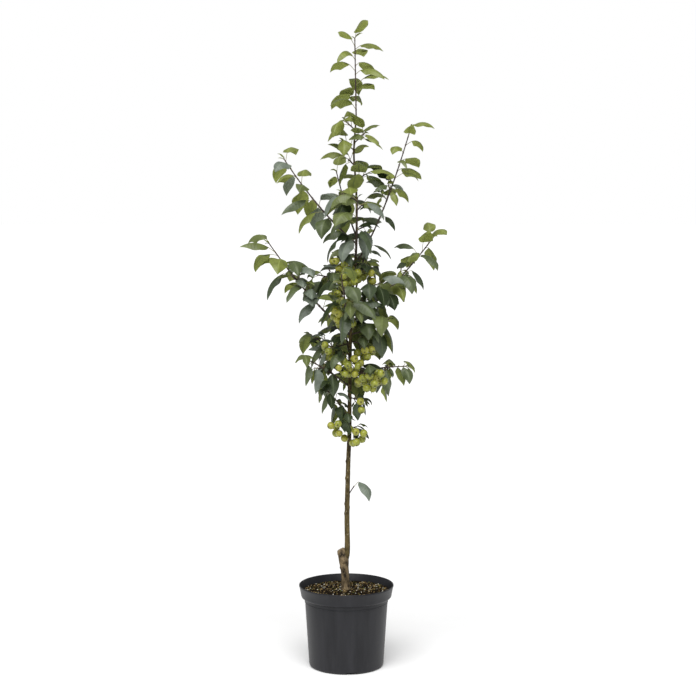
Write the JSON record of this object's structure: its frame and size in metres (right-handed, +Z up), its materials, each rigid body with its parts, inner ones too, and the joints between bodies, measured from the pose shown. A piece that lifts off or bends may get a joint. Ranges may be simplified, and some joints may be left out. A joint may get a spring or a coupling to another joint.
{
  "type": "potted crabapple tree",
  "caption": "Young feathered crabapple tree with green fruit and broad leaves, rooted in compost in a dark round nursery pot.",
  "frame": {"origin": "centre of the pot's flat underside, on the ground", "axes": "+Z up the trunk, +X to the picture's right, -Y towards its camera"},
  "size_m": [0.5968, 0.4841, 1.8839],
  "materials": {
    "pot_plastic": "charcoal, lightly scuffed satin",
    "compost": "dark crumbly compost with pale chips",
    "bark": "grey-brown young bark",
    "young_bark": "smooth dark brown twig bark",
    "foliage": "green leaves and fruit on reddish stalks"
  },
  "bodies": {
    "root": {"pot": "pot_plastic", "soil": "compost", "trunk": "bark", "bough_left_low": "young_bark", "bough_left_high": "young_bark", "bough_left_heart": "young_bark", "bough_left_inner": "young_bark", "bough_left_skirt": "young_bark", "bough_right_high": "young_bark", "bough_right_mid": "young_bark", "bough_right_heart": "young_bark", "bough_right_skirt": "young_bark", "bough_front_low": "young_bark", "bough_front_high": "young_bark", "bough_back_low": "young_bark", "bough_back_mid": "young_bark", "bough_back_high": "young_bark", "spray_left_low": "foliage", "spray_left_high": "foliage", "spray_left_heart": "foliage", "spray_left_inner": "foliage", "spray_left_skirt": "foliage", "spray_right_high": "foliage", "spray_right_mid": "foliage", "spray_right_heart": "foliage", "spray_right_skirt": "foliage", "spray_front_low": "foliage", "spray_front_high": "foliage", "spray_back_low": "foliage", "spray_back_mid": "foliage", "spray_back_high": "foliage", "spray_leader": "foliage", "spur_right_inner": "foliage", "spur_left_base": "foliage", "spur_cluster_front": "foliage", "spur_cluster_right": "foliage", "spur_low_left": "foliage", "spur_low_right": "foliage", "spur_low_back": "foliage", "spur_right_small": "foliage", "spur_mid_right": "foliage", "spur_mid_left": "foliage", "spur_heart_front": "foliage", "spur_heart_left": "foliage", "spur_heart_back": "foliage", "spur_heart_right": "foliage", "spur_upper_front": "foliage", "spur_upper_left": "foliage", "spur_upper_right": "foliage", "spur_upper_back": "foliage", "spur_neck_left": "foliage", "spur_neck_right": "foliage", "spur_neck_back": "foliage", "spur_shoulder_left": "foliage", "spur_shoulder_front": "foliage", "spur_shoulder_back": "foliage", "spur_collar_left": "foliage", "spur_collar_right": "foliage", "spur_crown_left": "foliage", "spur_foot_shoot": "foliage"}
  },
  "joints": []
}
